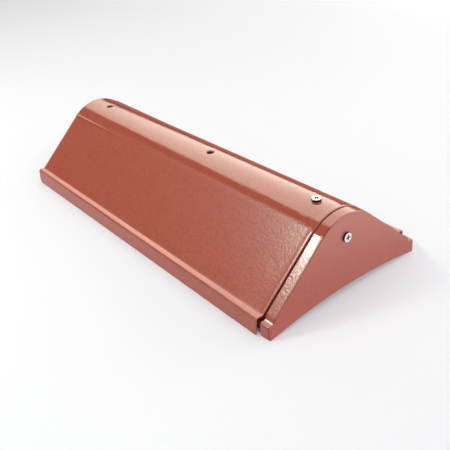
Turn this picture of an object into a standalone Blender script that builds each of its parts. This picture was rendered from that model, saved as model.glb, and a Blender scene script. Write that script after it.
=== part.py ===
"""A verge end tile of painted sheet metal: a ridge-shaped cover, an end cap and two screws.

The cover's length runs along X, its far end at low X and the capped end at high X. Z is up and
the skirts and the cap's feet stand on z = 0. The origin is at the middle of the footprint.
"""
import math

import bmesh
import bpy
import numpy as np
from mathutils import Matrix, Vector

MM = 0.001

# Sheet and clearances, and how far a cutter runs past what it cuts
SHEET = 1.5 * MM
GAP = 0.3 * MM
CUT_MARGIN = 6.0 * MM

# Cover: skirts, ledges, flanks and a round crown
COVER_LENGTH = 400.0 * MM
SKIRT_TOP_WIDTH = 184.2 * MM
SKIRT_FLARE = 1.9 * MM
SKIRT_HEIGHT = 16.8 * MM
LEDGE_WIDTH = 6.4 * MM
LEDGE_DROP = 1.1 * MM
FLANK_ANGLE = math.radians(42.1)
CROWN_RADIUS = 43.1 * MM
SKIRT_BEND_RADIUS = 2.4 * MM
LEDGE_FILLET_RADIUS = 3.0 * MM
FAR_CORNER_RADIUS = 6.0 * MM
NEAR_CORNER_RADIUS = 1.5 * MM
CORNER_LIMIT = 0.95  # most of the skirt's straight height that its rounded corners may take

# Crown holes, from the far end, and the crown screw, from the capped end
HOLE_DIAMETER = 7.0 * MM
FAR_HOLE_X = 35.0 * MM
MIDDLE_HOLE_X = 232.0 * MM
CROWN_SCREW_INSET = 22.0 * MM

# End cap: a plate with a bent rim, standing a little clear of the cover
CAP_GAP = 3.3 * MM
CAP_RIM_DEPTH = 10.5 * MM
CAP_SET_IN = 0.25 * MM
CAP_FOOT_SET_IN = 1.1 * MM
CAP_LEDGE_STEP = 3.4 * MM
CAP_LEDGE_WIDTH = 5.8 * MM
CAP_RISER_ANGLE = math.radians(71.0)
CAP_RISER_FILLET = 1.2 * MM
CAP_SHOULDER_RADIUS = 3.0 * MM
CAP_CORNER_RADIUS = 2.6 * MM
CAP_BEND_RADIUS = 2.0 * MM
CAP_LEAN = math.radians(1.2)
CAP_ARCH_RISE = 8.0 * MM

# Tongue of the cap under the crown, which the crown screw passes through
TONGUE_HALF_ANGLE = math.radians(36.0)
TONGUE_MARGIN = 12.0 * MM
TONGUE_STEP_LENGTH = 1.5 * MM

# Pan-head screws, with a cross recess that narrows to a share of its size at its floor
SCREW_DIAMETER = 4.8 * MM
SCREW_LENGTH = 19.0 * MM
SCREW_TIP_LENGTH = 5.0 * MM
HEAD_DIAMETER = 9.5 * MM
HEAD_HEIGHT = 2.9 * MM
HEAD_EDGE_HEIGHT = 1.5 * MM
HEAD_CHAMFER = 0.3 * MM
RECESS_SPAN = 5.0 * MM
RECESS_ARM = 1.3 * MM
RECESS_DEPTH = 1.7 * MM
RECESS_FLOOR_SHARE = 0.6
PLATE_SCREW_HEIGHT = 57.8 * MM
PLATE_SCREW_OFFSET = -1.5 * MM

# How finely the round stretches are divided
CROWN_STEPS = 28
BEND_STEPS = 4
RIM_BEND_STEPS = 4
CORNER_STEPS = 6
ARCH_STEPS = 40
HEAD_STEPS = 6
SCREW_SIDES = 24
HOLE_SIDES = 32
SHARP_ANGLE = math.radians(35.0)

# Finishes
PAINT = (0.36, 0.105, 0.062, 1.0)
PAINT_ROUGHNESS = 0.28
PLATED = (0.72, 0.72, 0.70, 1.0)
PLATED_ROUGHNESS = 0.25


def clear_scene():
    for item in list(bpy.data.objects):
        bpy.data.objects.remove(item, do_unlink=True)


def make_material(name, colour, roughness, metallic):
    material = bpy.data.materials.new(name)
    material.use_nodes = True
    shader = material.node_tree.nodes["Principled BSDF"]
    shader.inputs["Base Color"].default_value = colour
    shader.inputs["Roughness"].default_value = roughness
    shader.inputs["Metallic"].default_value = metallic
    return material


def add_object(name, mesh, material):
    """Put a mesh into the scene as one object, smooth with sharp bends."""
    mesh.shade_smooth()
    mesh.set_sharp_from_angle(angle=SHARP_ANGLE)
    mesh.materials.append(material)
    item = bpy.data.objects.new(name, mesh)
    bpy.context.scene.collection.objects.link(item)
    return item


def mesh_from(name, vertices, faces):
    mesh = bpy.data.meshes.new(name)
    mesh.from_pydata([tuple(v) for v in vertices], [], faces)
    mesh.validate()
    return mesh


def left_of(direction):
    return np.array([-direction[1], direction[0]])


def rounded_path(corners, radii, steps):
    """Follow straight legs between corners, with an arc of the given radius at each inner corner.

    Returns the points and their left-hand normals.
    """
    corners = [np.array(c, float) for c in corners]
    legs = [(b - a) / np.linalg.norm(b - a) for a, b in zip(corners, corners[1:])]
    points, normals = [corners[0]], [left_of(legs[0])]
    for corner, before, after, radius, count in zip(corners[1:-1], legs, legs[1:], radii, steps):
        turn = math.atan2(before[0] * after[1] - before[1] * after[0], float(before @ after))
        side = 1.0 if turn > 0 else -1.0
        reach = radius * math.tan(abs(turn) / 2)
        centre = corner - before * reach + left_of(before) * radius * side
        for k in range(count + 1):
            angle = turn * k / count
            spin = np.array([[math.cos(angle), -math.sin(angle)], [math.sin(angle), math.cos(angle)]])
            normal = spin @ left_of(before)
            points.append(centre - normal * radius * side)
            normals.append(normal)
    points.append(corners[-1])
    normals.append(left_of(legs[-1]))
    return np.array(points), np.array(normals)


def close_sheet(name, outer, inner, faces):
    """Make one closed body from two matching open surfaces, by walls along their open edges."""
    outer, inner = np.asarray(outer), np.asarray(inner)
    shift = len(outer)
    counts = {}
    for face in faces:
        for a, b in zip(face, face[1:] + face[:1]):
            counts[(a, b)] = counts.get((a, b), 0) + 1
    walls = [(b, a, a + shift, b + shift) for a, b in counts if (b, a) not in counts]
    back = [tuple(v + shift for v in reversed(face)) for face in faces]
    return mesh_from(name, np.concatenate([outer, inner]), list(faces) + back + walls)


def round_cutter(name, diameter, outside, axis, depth):
    """A hidden round cutter that goes in from a point on the outside, against the axis."""
    start = outside + axis * CUT_MARGIN
    end = outside - axis * (depth + CUT_MARGIN)
    form = bmesh.new()
    bmesh.ops.create_cone(form, cap_ends=True, segments=HOLE_SIDES, radius1=diameter / 2,
                          radius2=diameter / 2, depth=(end - start).length)
    turn = axis.to_track_quat("Z", "Y").to_matrix().to_4x4()
    bmesh.ops.transform(form, verts=form.verts, matrix=Matrix.Translation((start + end) / 2) @ turn)
    return finish_cutter(name, form)


def crown_cutter(name, x, diameter):
    """A round cutter down through the crown, and through the tongue under it."""
    return round_cutter(name, diameter, Vector((x - middle_x, 0, crown_z)), UP, 2 * SHEET + GAP)


def finish_cutter(name, form):
    mesh = bpy.data.meshes.new(name)
    form.to_mesh(mesh)
    form.free()
    cutter = bpy.data.objects.new(name, mesh)
    bpy.context.scene.collection.objects.link(cutter)
    cutter.hide_render = True
    cutter.display_type = "WIRE"
    return cutter


def cut(item, cutter):
    modifier = item.modifiers.new(cutter.name, "BOOLEAN")
    modifier.operation = "DIFFERENCE"
    modifier.solver = "EXACT"
    modifier.object = cutter


# The cover's outline, seen along its length. It runs from one skirt's foot over the crown to the
# other, with the outer face on its left.
half_top = SKIRT_TOP_WIDTH / 2
half_foot = half_top + SKIRT_FLARE
ledge_inner = half_top - LEDGE_WIDTH
ledge_inner_z = SKIRT_HEIGHT - LEDGE_DROP
peak_z = ledge_inner_z + ledge_inner * math.tan(FLANK_ANGLE)
crown_z = peak_z - CROWN_RADIUS * (1 / math.cos(FLANK_ANGLE) - 1)
crown_centre_z = crown_z - CROWN_RADIUS

# Places along the length, before the whole is centred on the origin
plate_x = COVER_LENGTH + CAP_GAP + CAP_RIM_DEPTH
plate_screw_x = plate_x - PLATE_SCREW_HEIGHT * math.tan(CAP_LEAN)
front_x = plate_screw_x + (GAP + HEAD_HEIGHT) * math.cos(CAP_LEAN)
middle_x = front_x / 2
crown_screw_x = COVER_LENGTH - CROWN_SCREW_INSET
screw_hole_diameter = SCREW_DIAMETER + 2 * GAP

# Directions that the screws and their holes follow
UP = Vector((0, 0, 1))
PLATE_OUT = Vector((math.cos(CAP_LEAN), 0, math.sin(CAP_LEAN)))


def mirrored(corners):
    """Complete a half outline that ends at the peak with its mirror image."""
    return corners + [(-y, z) for y, z in reversed(corners[:-1])]


def cover_outline():
    """The cover's outline with its outward normals."""
    corners = mirrored([(-half_foot, 0.0), (-half_top, SKIRT_HEIGHT), (-ledge_inner, ledge_inner_z),
                        (0.0, peak_z)])
    bends = [SKIRT_BEND_RADIUS, LEDGE_FILLET_RADIUS]
    steps = [BEND_STEPS, BEND_STEPS]
    points, normals = rounded_path(corners, bends + [CROWN_RADIUS] + bends[::-1],
                                   steps + [CROWN_STEPS] + steps)
    # Extra points up each skirt carry the rounding of its lower end corners.
    reach = min(max(FAR_CORNER_RADIUS, NEAR_CORNER_RADIUS), points[1][1] * CORNER_LIMIT)
    angles = np.linspace(0, math.pi / 2, CORNER_STEPS + 1)[1:]
    heights = reach * (1 - np.cos(angles))
    share = (heights / points[1][1])[:, None]
    first = points[0] + (points[1] - points[0]) * share
    last = first[::-1] * (-1, 1)
    count = len(heights)
    points = np.concatenate([points[:1], first, points[1:-1], last, points[-1:]])
    normals = np.concatenate([normals[:1], np.repeat(normals[:1], count, 0), normals[1:-1],
                              np.repeat(normals[-1:], count, 0), normals[-1:]])
    return points, normals


def corner_set_back(height, radius):
    """How far the end edge stands back at a height, where the lower corner is rounded."""
    low = np.clip(radius - height, 0, radius)
    return radius - np.sqrt(radius ** 2 - low ** 2)


def build_cover(paint):
    """One folded sheet from end to end, with round holes through its crown."""
    outline, normals = cover_outline()
    inner_outline = outline - normals * SHEET
    start = corner_set_back(outline[:, 1], FAR_CORNER_RADIUS)
    end = COVER_LENGTH - corner_set_back(outline[:, 1], NEAR_CORNER_RADIUS)
    # The flared skirt's inner face is cut level with its outer one, to stand flat.
    inner_outline[0, 1] = inner_outline[-1, 1] = 0.0
    outer = np.concatenate([np.column_stack([x - middle_x, outline]) for x in (start, end)])
    inner = np.concatenate([np.column_stack([x - middle_x, inner_outline]) for x in (start, end)])
    count = len(outline)
    faces = [(i, i + count, i + count + 1, i + 1) for i in range(count - 1)]
    cover = add_object("cover", close_sheet("cover", outer, inner, faces), paint)
    cut(cover, crown_cutter("far_hole_cutter", FAR_HOLE_X, HOLE_DIAMETER))
    cut(cover, crown_cutter("middle_hole_cutter", MIDDLE_HOLE_X, HOLE_DIAMETER))
    cut(cover, crown_cutter("cover_screw_hole_cutter", crown_screw_x, screw_hole_diameter))
    return cover


def cap_outline():
    """The cap's outline: the cover's flanks and crown set in a little, on a smaller, lower foot."""
    foot = half_top - CAP_FOOT_SET_IN
    ledge_z = SKIRT_HEIGHT - CAP_LEDGE_STEP
    ledge_end = foot - CAP_LEDGE_WIDTH
    cap_peak_z = peak_z - CAP_SET_IN / math.cos(FLANK_ANGLE)
    # The riser climbs from the ledge's end to where it meets the flank's line.
    flank, riser = math.tan(FLANK_ANGLE), math.tan(CAP_RISER_ANGLE)
    flank_at_ledge_end = cap_peak_z - ledge_end * flank
    run = (flank_at_ledge_end - ledge_z) / (riser - flank)
    shoulder = (-(ledge_end - run), ledge_z + run * riser)
    corners = mirrored([(-foot, 0.0), (-foot, ledge_z), (-ledge_end, ledge_z), shoulder,
                        (0.0, cap_peak_z)])
    radii = [CAP_CORNER_RADIUS, CAP_RISER_FILLET, CAP_SHOULDER_RADIUS]
    radii = radii + [CROWN_RADIUS - CAP_SET_IN] + radii[::-1]
    bends = [BEND_STEPS] * 3
    return rounded_path(corners, radii, bends + [CROWN_STEPS] + bends)


def build_cap(paint):
    """A plate whose edge is bent back into a rim, and a tongue that runs on under the crown."""
    outline, normals = cap_outline()
    count = len(outline)
    lean = math.tan(CAP_LEAN)
    inset = outline - normals * CAP_BEND_RADIUS
    inset[0, 1] = inset[-1, 1] = 0.0

    def row(points, back):
        """One row of the rim, a distance back from the plate's face, leaning with the plate."""
        x = plate_x - middle_x - points[:, 1] * lean - back
        return np.column_stack([x, points])

    outer_rows, inner_rows = [], []
    for k in range(RIM_BEND_STEPS + 1):
        angle = math.pi / 2 * k / RIM_BEND_STEPS
        for rows, radius in ((outer_rows, CAP_BEND_RADIUS), (inner_rows, CAP_BEND_RADIUS - SHEET)):
            points = inset + normals * radius * math.sin(angle)
            points[0, 1] = points[-1, 1] = 0.0
            rows.append(row(points, CAP_BEND_RADIUS - radius * math.cos(angle)))
    outer_rows.append(row(outline, CAP_RIM_DEPTH))
    edge = outline - normals * SHEET
    edge[0, 1] = edge[-1, 1] = 0.0
    inner_rows.append(row(edge, CAP_RIM_DEPTH))
    rim_rows = len(outer_rows)
    faces = [(j * count + i, j * count + i + 1, (j + 1) * count + i + 1, (j + 1) * count + i)
             for j in range(rim_rows - 1) for i in range(count - 1)]
    outer, inner = np.concatenate(outer_rows), np.concatenate(inner_rows)

    # The plate's lower edge is one flat arch from foot to foot.
    half_span = -inset[0, 0]
    arch_radius = (half_span ** 2 + CAP_ARCH_RISE ** 2) / (2 * CAP_ARCH_RISE)
    arch_y = np.linspace(half_span, -half_span, ARCH_STEPS + 1)[1:-1]
    arch_z = np.sqrt(arch_radius ** 2 - arch_y ** 2) - (arch_radius - CAP_ARCH_RISE)
    arch = np.column_stack([arch_y, arch_z])
    plate = list(range(count)) + list(range(len(outer), len(outer) + len(arch)))
    faces.append(tuple(reversed(plate)))
    outer = np.concatenate([outer, row(arch, 0)])
    inner = np.concatenate([inner, row(arch, SHEET)])

    # The tongue steps down from the rim by a sheet and a gap, and runs on under the crown.
    tongue_edge_z = crown_centre_z + (CROWN_RADIUS - CAP_SET_IN) * math.cos(TONGUE_HALF_ANGLE)
    span = np.flatnonzero(outline[:, 1] > tongue_edge_z)
    under = np.array([0.0, crown_centre_z]) + normals[span] * (CROWN_RADIUS - SHEET - GAP)
    tongue_length = CAP_GAP + CROWN_SCREW_INSET + TONGUE_MARGIN
    for k, back in enumerate((CAP_RIM_DEPTH + TONGUE_STEP_LENGTH, CAP_RIM_DEPTH + tongue_length)):
        first = (rim_rows - 1) * count + span[0] if k == 0 else len(outer) - len(span)
        here = len(outer)
        faces += [(first + i, first + i + 1, here + i + 1, here + i) for i in range(len(span) - 1)]
        outer = np.concatenate([outer, row(under, back)])
        inner = np.concatenate([inner, row(under - normals[span] * SHEET, back)])

    cap = add_object("end_cap", close_sheet("end_cap", outer, inner, faces), paint)
    cut(cap, crown_cutter("tongue_hole_cutter", crown_screw_x, screw_hole_diameter))
    cut(cap, round_cutter("plate_hole_cutter", screw_hole_diameter, plate_screw_spot(), PLATE_OUT,
                          SHEET))
    return cap


def plate_screw_spot():
    """Where the plate's screw passes through its outer face."""
    return Vector((plate_screw_x - middle_x, PLATE_SCREW_OFFSET, PLATE_SCREW_HEIGHT))


def screw_profile():
    """Half the screw's outline, from the middle of its head's top down to its tip."""
    head = HEAD_DIAMETER / 2
    dome = HEAD_HEIGHT - HEAD_EDGE_HEIGHT
    points = [(0.0, HEAD_HEIGHT)]
    for k in range(1, HEAD_STEPS + 1):
        angle = math.pi / 2 * k / HEAD_STEPS
        points.append((head * math.sin(angle), HEAD_EDGE_HEIGHT + dome * math.cos(angle)))
    points += [(head, HEAD_CHAMFER), (head - HEAD_CHAMFER, 0.0)]
    points += [(SCREW_DIAMETER / 2, 0.0), (SCREW_DIAMETER / 2, SCREW_TIP_LENGTH - SCREW_LENGTH)]
    points += [(0.0, -SCREW_LENGTH)]
    return points


def turned_mesh(name, profile):
    """Turn a profile that starts and ends on the Z axis into one closed mesh."""
    rings = profile[1:-1]
    vertices = [(0.0, 0.0, profile[0][1])]
    for radius, height in rings:
        for k in range(SCREW_SIDES):
            angle = 2 * math.pi * k / SCREW_SIDES
            vertices.append((radius * math.cos(angle), radius * math.sin(angle), height))
    tip = len(vertices)
    vertices.append((0.0, 0.0, profile[-1][1]))
    starts = [1 + ring * SCREW_SIDES for ring in range(len(rings))]
    faces = []
    for k in range(SCREW_SIDES):
        n = (k + 1) % SCREW_SIDES
        faces.append((0, starts[0] + k, starts[0] + n))
        faces += [(a + k, b + k, b + n, a + n) for a, b in zip(starts, starts[1:])]
        faces.append((tip, starts[-1] + n, starts[-1] + k))
    return mesh_from(name, vertices, faces)


def recess_cutter(name, placing):
    """A cross that widens evenly from the recess's floor, through the head's top, to clear above it."""
    span, arm = RECESS_SPAN / 2, RECESS_ARM / 2
    quarter = [(span, -arm), (span, arm), (arm, arm)]
    cross = [(x * c - y * s, x * s + y * c) for c, s in ((1, 0), (0, 1), (-1, 0), (0, -1))
             for x, y in quarter]
    levels = ((HEAD_HEIGHT + RECESS_DEPTH, 2 - RECESS_FLOOR_SHARE),
              (HEAD_HEIGHT - RECESS_DEPTH, RECESS_FLOOR_SHARE))
    form = bmesh.new()
    top, bottom = ([form.verts.new((x * share, y * share, z)) for x, y in cross] for z, share in levels)
    form.faces.new(top)
    form.faces.new(bottom[::-1])
    for k in range(len(cross)):
        n = (k + 1) % len(cross)
        form.faces.new((top[k], bottom[k], bottom[n], top[n]))
    bmesh.ops.transform(form, verts=form.verts, matrix=placing)
    return finish_cutter(name, form)


def build_screw(name, seat, axis, plated):
    """A turned pan-head screw with a cross recess, its head a small gap clear of its seat."""
    screw = add_object(name, turned_mesh(name, screw_profile()), plated)
    turn = axis.to_track_quat("Z", "Y").to_matrix().to_4x4()
    screw.matrix_world = Matrix.Translation(seat + axis * GAP) @ turn
    cut(screw, recess_cutter(name + "_recess_cutter", screw.matrix_world))
    return screw


def main():
    clear_scene()
    build_cover(make_material("cover_powder_coat", PAINT, PAINT_ROUGHNESS, 0.0))
    build_cap(make_material("end_cap_powder_coat", PAINT, PAINT_ROUGHNESS, 0.0))
    crown_seat = Vector((crown_screw_x - middle_x, 0, crown_z))
    build_screw("crown_screw", crown_seat, UP,
                make_material("crown_screw_plating", PLATED, PLATED_ROUGHNESS, 1.0))
    build_screw("plate_screw", plate_screw_spot(), PLATE_OUT,
                make_material("plate_screw_plating", PLATED, PLATED_ROUGHNESS, 1.0))


main()
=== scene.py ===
"""The looks of a verge end tile: glossy powder-coated sheet and bright plated screws.

Lengths are metres. X runs along the cover towards its capped end, Z is up and the skirts stand
on z = 0. Every sheet is worked out from its middle surface: both faces stand half its thickness
away, and that half thickness falls to nothing along a half circle at each free edge.
"""

import math

import bpy
import numpy as np
from mathutils import Matrix, Vector


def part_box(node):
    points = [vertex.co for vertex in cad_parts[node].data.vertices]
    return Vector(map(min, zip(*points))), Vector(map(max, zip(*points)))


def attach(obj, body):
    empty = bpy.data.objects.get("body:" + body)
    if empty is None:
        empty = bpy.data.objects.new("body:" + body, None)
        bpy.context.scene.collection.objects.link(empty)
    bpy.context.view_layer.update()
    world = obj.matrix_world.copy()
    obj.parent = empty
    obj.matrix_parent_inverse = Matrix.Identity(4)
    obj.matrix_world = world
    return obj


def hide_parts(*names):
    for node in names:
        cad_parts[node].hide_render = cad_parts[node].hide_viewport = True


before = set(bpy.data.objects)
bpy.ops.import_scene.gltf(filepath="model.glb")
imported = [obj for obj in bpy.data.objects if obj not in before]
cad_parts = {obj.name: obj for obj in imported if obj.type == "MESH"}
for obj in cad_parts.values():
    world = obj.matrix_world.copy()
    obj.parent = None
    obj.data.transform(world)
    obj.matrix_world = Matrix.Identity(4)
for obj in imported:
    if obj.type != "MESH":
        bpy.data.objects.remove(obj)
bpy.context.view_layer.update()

MM = 0.001

# Sheet, and its slight unevenness as a sum of waves
SHEET = 1.5 * MM
WAVES = 9
SHORTEST_WAVE = 9.0 * MM
LONGEST_WAVE = 40.0 * MM
WAVE_SLOPE = 0.0014
COVER_SEED = 3
RIM_SEED = 11
PLATE_SEED = 5

# Clear gap between pieces that fit together
CLEAR_GAP = 0.3 * MM

# Cover
SKIRT_TOP_WIDTH = 184.2 * MM
SKIRT_FLARE = 1.9 * MM
SKIRT_HEIGHT = 16.8 * MM
LEDGE_WIDTH = 6.4 * MM
LEDGE_DROP = 1.1 * MM
FLANK_ANGLE = math.radians(42.1)
CROWN_RADIUS = 43.1 * MM
SKIRT_BEND_RADIUS = 2.4 * MM
LEDGE_FILLET_RADIUS = 3.0 * MM
FAR_CORNER_RADIUS = 6.0 * MM
NEAR_CORNER_RADIUS = 1.5 * MM
LIP_HEIGHT = 0.14 * MM
LIP_PLACE = 2.0 * MM
LIP_WIDTH = 1.6 * MM
CREASE_HEIGHT = 0.95 * MM
CREASE_WIDTH = 1.15 * MM
CREASE_LENGTH = 105.0 * MM
HOLE_DIAMETER = 7.0 * MM
FAR_HOLE_INSET = 35.0 * MM
MIDDLE_HOLE_INSET = 232.0 * MM
COLLAR_DEPTH = 4.6 * MM
COLLAR_BEND = 0.75 * MM
COLLAR_SHADE_DEPTH = 0.9 * MM
HOLE_SHADE_WIDTH = 0.6 * MM
CORNER_REACH = 60.0 * MM

# End cap
CAP_RIM_DEPTH = 10.5 * MM
CAP_SET_IN = 0.25 * MM
CAP_FOOT_SET_IN = 1.1 * MM
CAP_LEDGE_STEP = 3.4 * MM
CAP_LEDGE_WIDTH = 5.8 * MM
CAP_RISER_ANGLE = math.radians(71.0)
CAP_RISER_FILLET = 0.5 * MM
CHAMFER_ANGLE = math.radians(36.8)
CHAMFER_LENGTH = 1.6 * MM
CAP_SHOULDER_RADIUS = 3.0 * MM
CAP_CORNER_RADIUS = 2.6 * MM
CAP_BEND_RADIUS = 1.6 * MM
CAP_LEAN = math.radians(1.2)
CAP_ARCH_RISE = 8.0 * MM
RIM_LIFT = 0.2 * MM
RIM_TAPER = math.tan(math.radians(3.0))
RIM_LINE_PLACE = 1.2 * MM
SEAM_DEPTH = 0.10 * MM
SEAM_WIDTH = 0.40 * MM
FLANGE_LENGTH = 8.5 * MM
FLANGE_STEP_LENGTH = 1.1 * MM
TONGUE_HALF_ANGLE = math.radians(36.0)
TONGUE_LENGTH = 37.3 * MM
TONGUE_BLEND = 1.5 * MM
SEAM_SHADE = 0.65
NEAR_SIDE_REACH = 50.0 * MM
RIM_LINE_SHADE = 0.3
RIM_LINE_WIDTH = 0.3 * MM
GAP_SHADE_START = 20.0 * MM
GAP_SHADE_REACH = 14.0 * MM
GAP_SHADE_DEPTH = 0.6 * MM

# Screws
SHANK_RADIUS = 2.4 * MM
SHANK_LENGTH = 19.0 * MM
SHANK_START = 0.01 * MM
TIP_LENGTH = 5.0 * MM
THREAD_PITCH = 1.6 * MM
THREAD_DEPTH = 0.45 * MM
HEAD_RADIUS = 4.35 * MM
HEAD_HEIGHT = 2.35 * MM
HEAD_DOME = 0.15 * MM
HEAD_SHOULDER_RADIUS = 0.5 * MM
HEAD_CHAMFER = 0.3 * MM
RECESS_REACH = 2.6 * MM
RECESS_HALF_ARM = 0.75 * MM
RECESS_WALL = 0.16 * MM
RECESS_DEPTH = 1.9 * MM
RECESS_SLOPE = 0.75
RECESS_MIDDLE_RADIUS = 1.5 * RECESS_HALF_ARM
THREAD_SHARPNESS = 1.5
PLATE_SCREW_HEIGHT = 57.8 * MM
PLATE_SCREW_OFFSET = -1.5 * MM

# Fineness of the meshes: steps, least gaps between lines of points, and numbers of points
FLAT_STEP = 2.6 * MM
LENGTH_STEP = 3.0 * MM
CROWN_ARC_STEP = math.radians(2.0)
BEND_ARC_STEP = math.radians(9.0)
LEAST_ROW_GAP = 0.12 * MM
CREASE_ROW_GAP = 0.25 * MM
CAP_ROW_GAP = 0.3 * MM
COLUMN_GAP = 0.9 * MM
WELD_GAP = 0.001 * MM
HOLE_CELLS = 12
HOLE_REACH = 7.0 * MM
HEAD_SIDES = 96
HEAD_RINGS = 44
SHANK_RINGS = 80
TIP_RINGS = 28
ROUND_EDGE_POINTS = 5
BEND_POINTS = 9
COLLAR_BEND_POINTS = 7
CORNER_POINTS = 8
FLANGE_RUN_POINTS = 14
RIM_FLAT_POINTS = 5
PLATE_RUN_POINTS = 20

# Distances of points from a free edge, or from a line where the sheet bends
EDGE_STATIONS = np.concatenate([SHEET / 2 * (1 - np.cos(np.linspace(0, math.pi / 2, ROUND_EDGE_POINTS))),
                                np.array([1.1, 1.6, 2.2, 2.9]) * MM])
COVER_END_STATIONS = np.append(EDGE_STATIONS, [3.7 * MM, 4.8 * MM])
CREASE_STATIONS = np.linspace(-1.8, 1.8, 9) * MM
TONGUE_SIDE_STATIONS = np.linspace(-0.8, 0.8, 7) * MM
RIM_STATIONS = np.array([0, 0.2, 0.45, 0.7, 1.0, 1.35, 1.75, 2.3]) * MM
RIM_FLAT_START = 3.0 * MM
PLATE_TOP_STATIONS = np.array([0.2, 0.4, 0.65, 1.0, 1.5]) * MM
PLATE_CORNER_SHARE = 0.3

# How near an edge the unevenness dies away
COVER_CALM = 6.0 * MM
RIM_EDGE_CALM = 4.0 * MM
RIM_BEND_CALM = 3.0 * MM
PLATE_EDGE_CALM = 5.0 * MM
PLATE_BEND_CALM = 6.0 * MM

# Tints, as linear colours
COVER_TINTS = [(0.287, 0.058, 0.033, 1.0), (0.341, 0.081, 0.048, 1.0)]
CAP_TINTS = [(0.286, 0.053, 0.031, 1.0), (0.320, 0.066, 0.039, 1.0)]
# Painted sheen: a paler tint that stands in for the reflection on the cap's plate.
PLATE_PAINTED_SHEEN = (0.390, 0.138, 0.108, 1.0)
# Painted light: a brighter tint on the cover's ledges, standing in for light bounced onto them.
LEDGE_PAINTED_LIGHT = (0.440, 0.132, 0.084, 1.0)
UNDERSIDE_TINT = (0.120, 0.027, 0.018, 1.0)
# Painted shade: a near-black red for seams, gaps and holes, where shade falls.
PAINTED_SHADE_TINT = (0.055, 0.008, 0.004, 1.0)
# Painted shade: the crown screw carries the plate screw's plating drawn darker, so its top isn't blown
# out by the bright panel's reflection.
CROWN_ZINC_SHADED_TINT = (0.52, 0.51, 0.50, 1.0)
PLATE_ZINC_TINT = (0.90, 0.89, 0.87, 1.0)
# Painted shade on the screws: near black in the cross pit and down the head's side.
ZINC_PAINTED_SHADE_TINT = (0.035, 0.025, 0.025, 1.0)

# Paint: the skin's noises as scale, detail and roughness, then its gloss and where its tints lie
PEEL_NOISE = (460.0, 1.5, 0.5)
MOTTLE_NOISE = (55.0, 3.0, 0.55)
COVER_ROUGHNESS = 0.085
CAP_ROUGHNESS = 0.10
UNDERSIDE_ROUGHNESS = 0.42
COVER_PEEL_DEPTH = 0.105 * MM
CAP_PEEL_DEPTH = 0.125 * MM
# Painted sheen on the cap: its share, and how it rises with height, slant and facing +X.
CAP_PAINTED_SHEEN = 0.85
SHEEN_SLANT = 0.2
SHEEN_BOTTOM_Z = 8.0 * MM
SHEEN_TOP_Z = 85.0 * MM
SHEEN_FACING = (0.5, 0.95)
# Painted light on the cover's ledges: which facings take it, and where across it starts and is full.
LEDGE_LIGHT_FACING = (0.75, 0.95)
LEDGE_LIGHT_OUTSET = (-1.5 * MM, 0.5 * MM)
# Painted shade in the peel: dimples drawn towards the darker tint and crests towards the lighter, over
# these heights and by this share.
DIMPLE_SHADE_HEIGHTS = (0.35, 0.65)
DIMPLE_SHADE_SHARE = 0.6
MOTTLE_SHARE = 0.4
# Painted shade from the mesh's mark: the span of the mark and how far it darkens the coat.
PAINTED_SHADE_MARKS = (0.1, 0.9)
PAINTED_SHADE_SHARE = 0.85

# Zinc
CLOUD_NOISE = (900.0, 2.0, 0.5)
CLOUD_LEVELS = (0.3, 0.7)
ZINC_ROUGHNESS = (0.36, 0.48)

half_top = SKIRT_TOP_WIDTH / 2
half_foot = half_top + SKIRT_FLARE
ledge_inner = half_top - LEDGE_WIDTH
ledge_inner_z = SKIRT_HEIGHT - LEDGE_DROP
peak_z = ledge_inner_z + ledge_inner * math.tan(FLANK_ANGLE)
crown_z = peak_z - CROWN_RADIUS * (1 / math.cos(FLANK_ANGLE) - 1)
cover_low, cover_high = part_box("cover")
_, cap_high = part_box("end_cap")
crown_screw_low, crown_screw_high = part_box("crown_screw")
crown_screw_x = (crown_screw_low.x + crown_screw_high.x) / 2


def half_thickness(distance):
    """Half the sheet's thickness at a distance d from its free edge.

    With r half the sheet, it is sqrt(r^2 - (r - d)^2) out to r and then r.
    """
    radius = SHEET / 2
    short = np.clip(radius - distance, 0, radius)
    return np.sqrt(radius ** 2 - short ** 2)


def bump(distance, height, width):
    """A Gaussian ridge: height * exp(-(distance / width)^2)."""
    return height * np.exp(-(distance / width) ** 2)


def smooth_step(share):
    """0 below 0, 1 above 1 and 3 s^2 - 2 s^3 between."""
    share = np.clip(share, 0, 1)
    return share * share * (3 - 2 * share)


def waviness(x, along, seed):
    """A slight unevenness of the sheet: the sum of sine waves of chance lengths and headings.

    A wave's height is its slope times its length / (2 pi), so that every wave is as steep.
    """
    draw = np.random.default_rng(seed)
    lengths = draw.uniform(SHORTEST_WAVE, LONGEST_WAVE, WAVES)
    headings = draw.uniform(0, math.pi, WAVES)
    phases = draw.uniform(0, 2 * math.pi, WAVES)
    total = np.zeros(np.broadcast(x, along).shape)
    for length, heading, phase in zip(lengths, headings, phases):
        wave = 2 * math.pi / length
        across = x * math.cos(heading) + along * math.sin(heading)
        total += WAVE_SLOPE / wave * np.sin(wave * across + phase)
    return total


def flat_shares(start, end):
    """Even shares of the way from one point to the next, as a column that ends with 1."""
    count = max(1, math.ceil(np.linalg.norm(end - start) / FLAT_STEP))
    return np.linspace(0, 1, count + 1)[1:, None]


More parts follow.
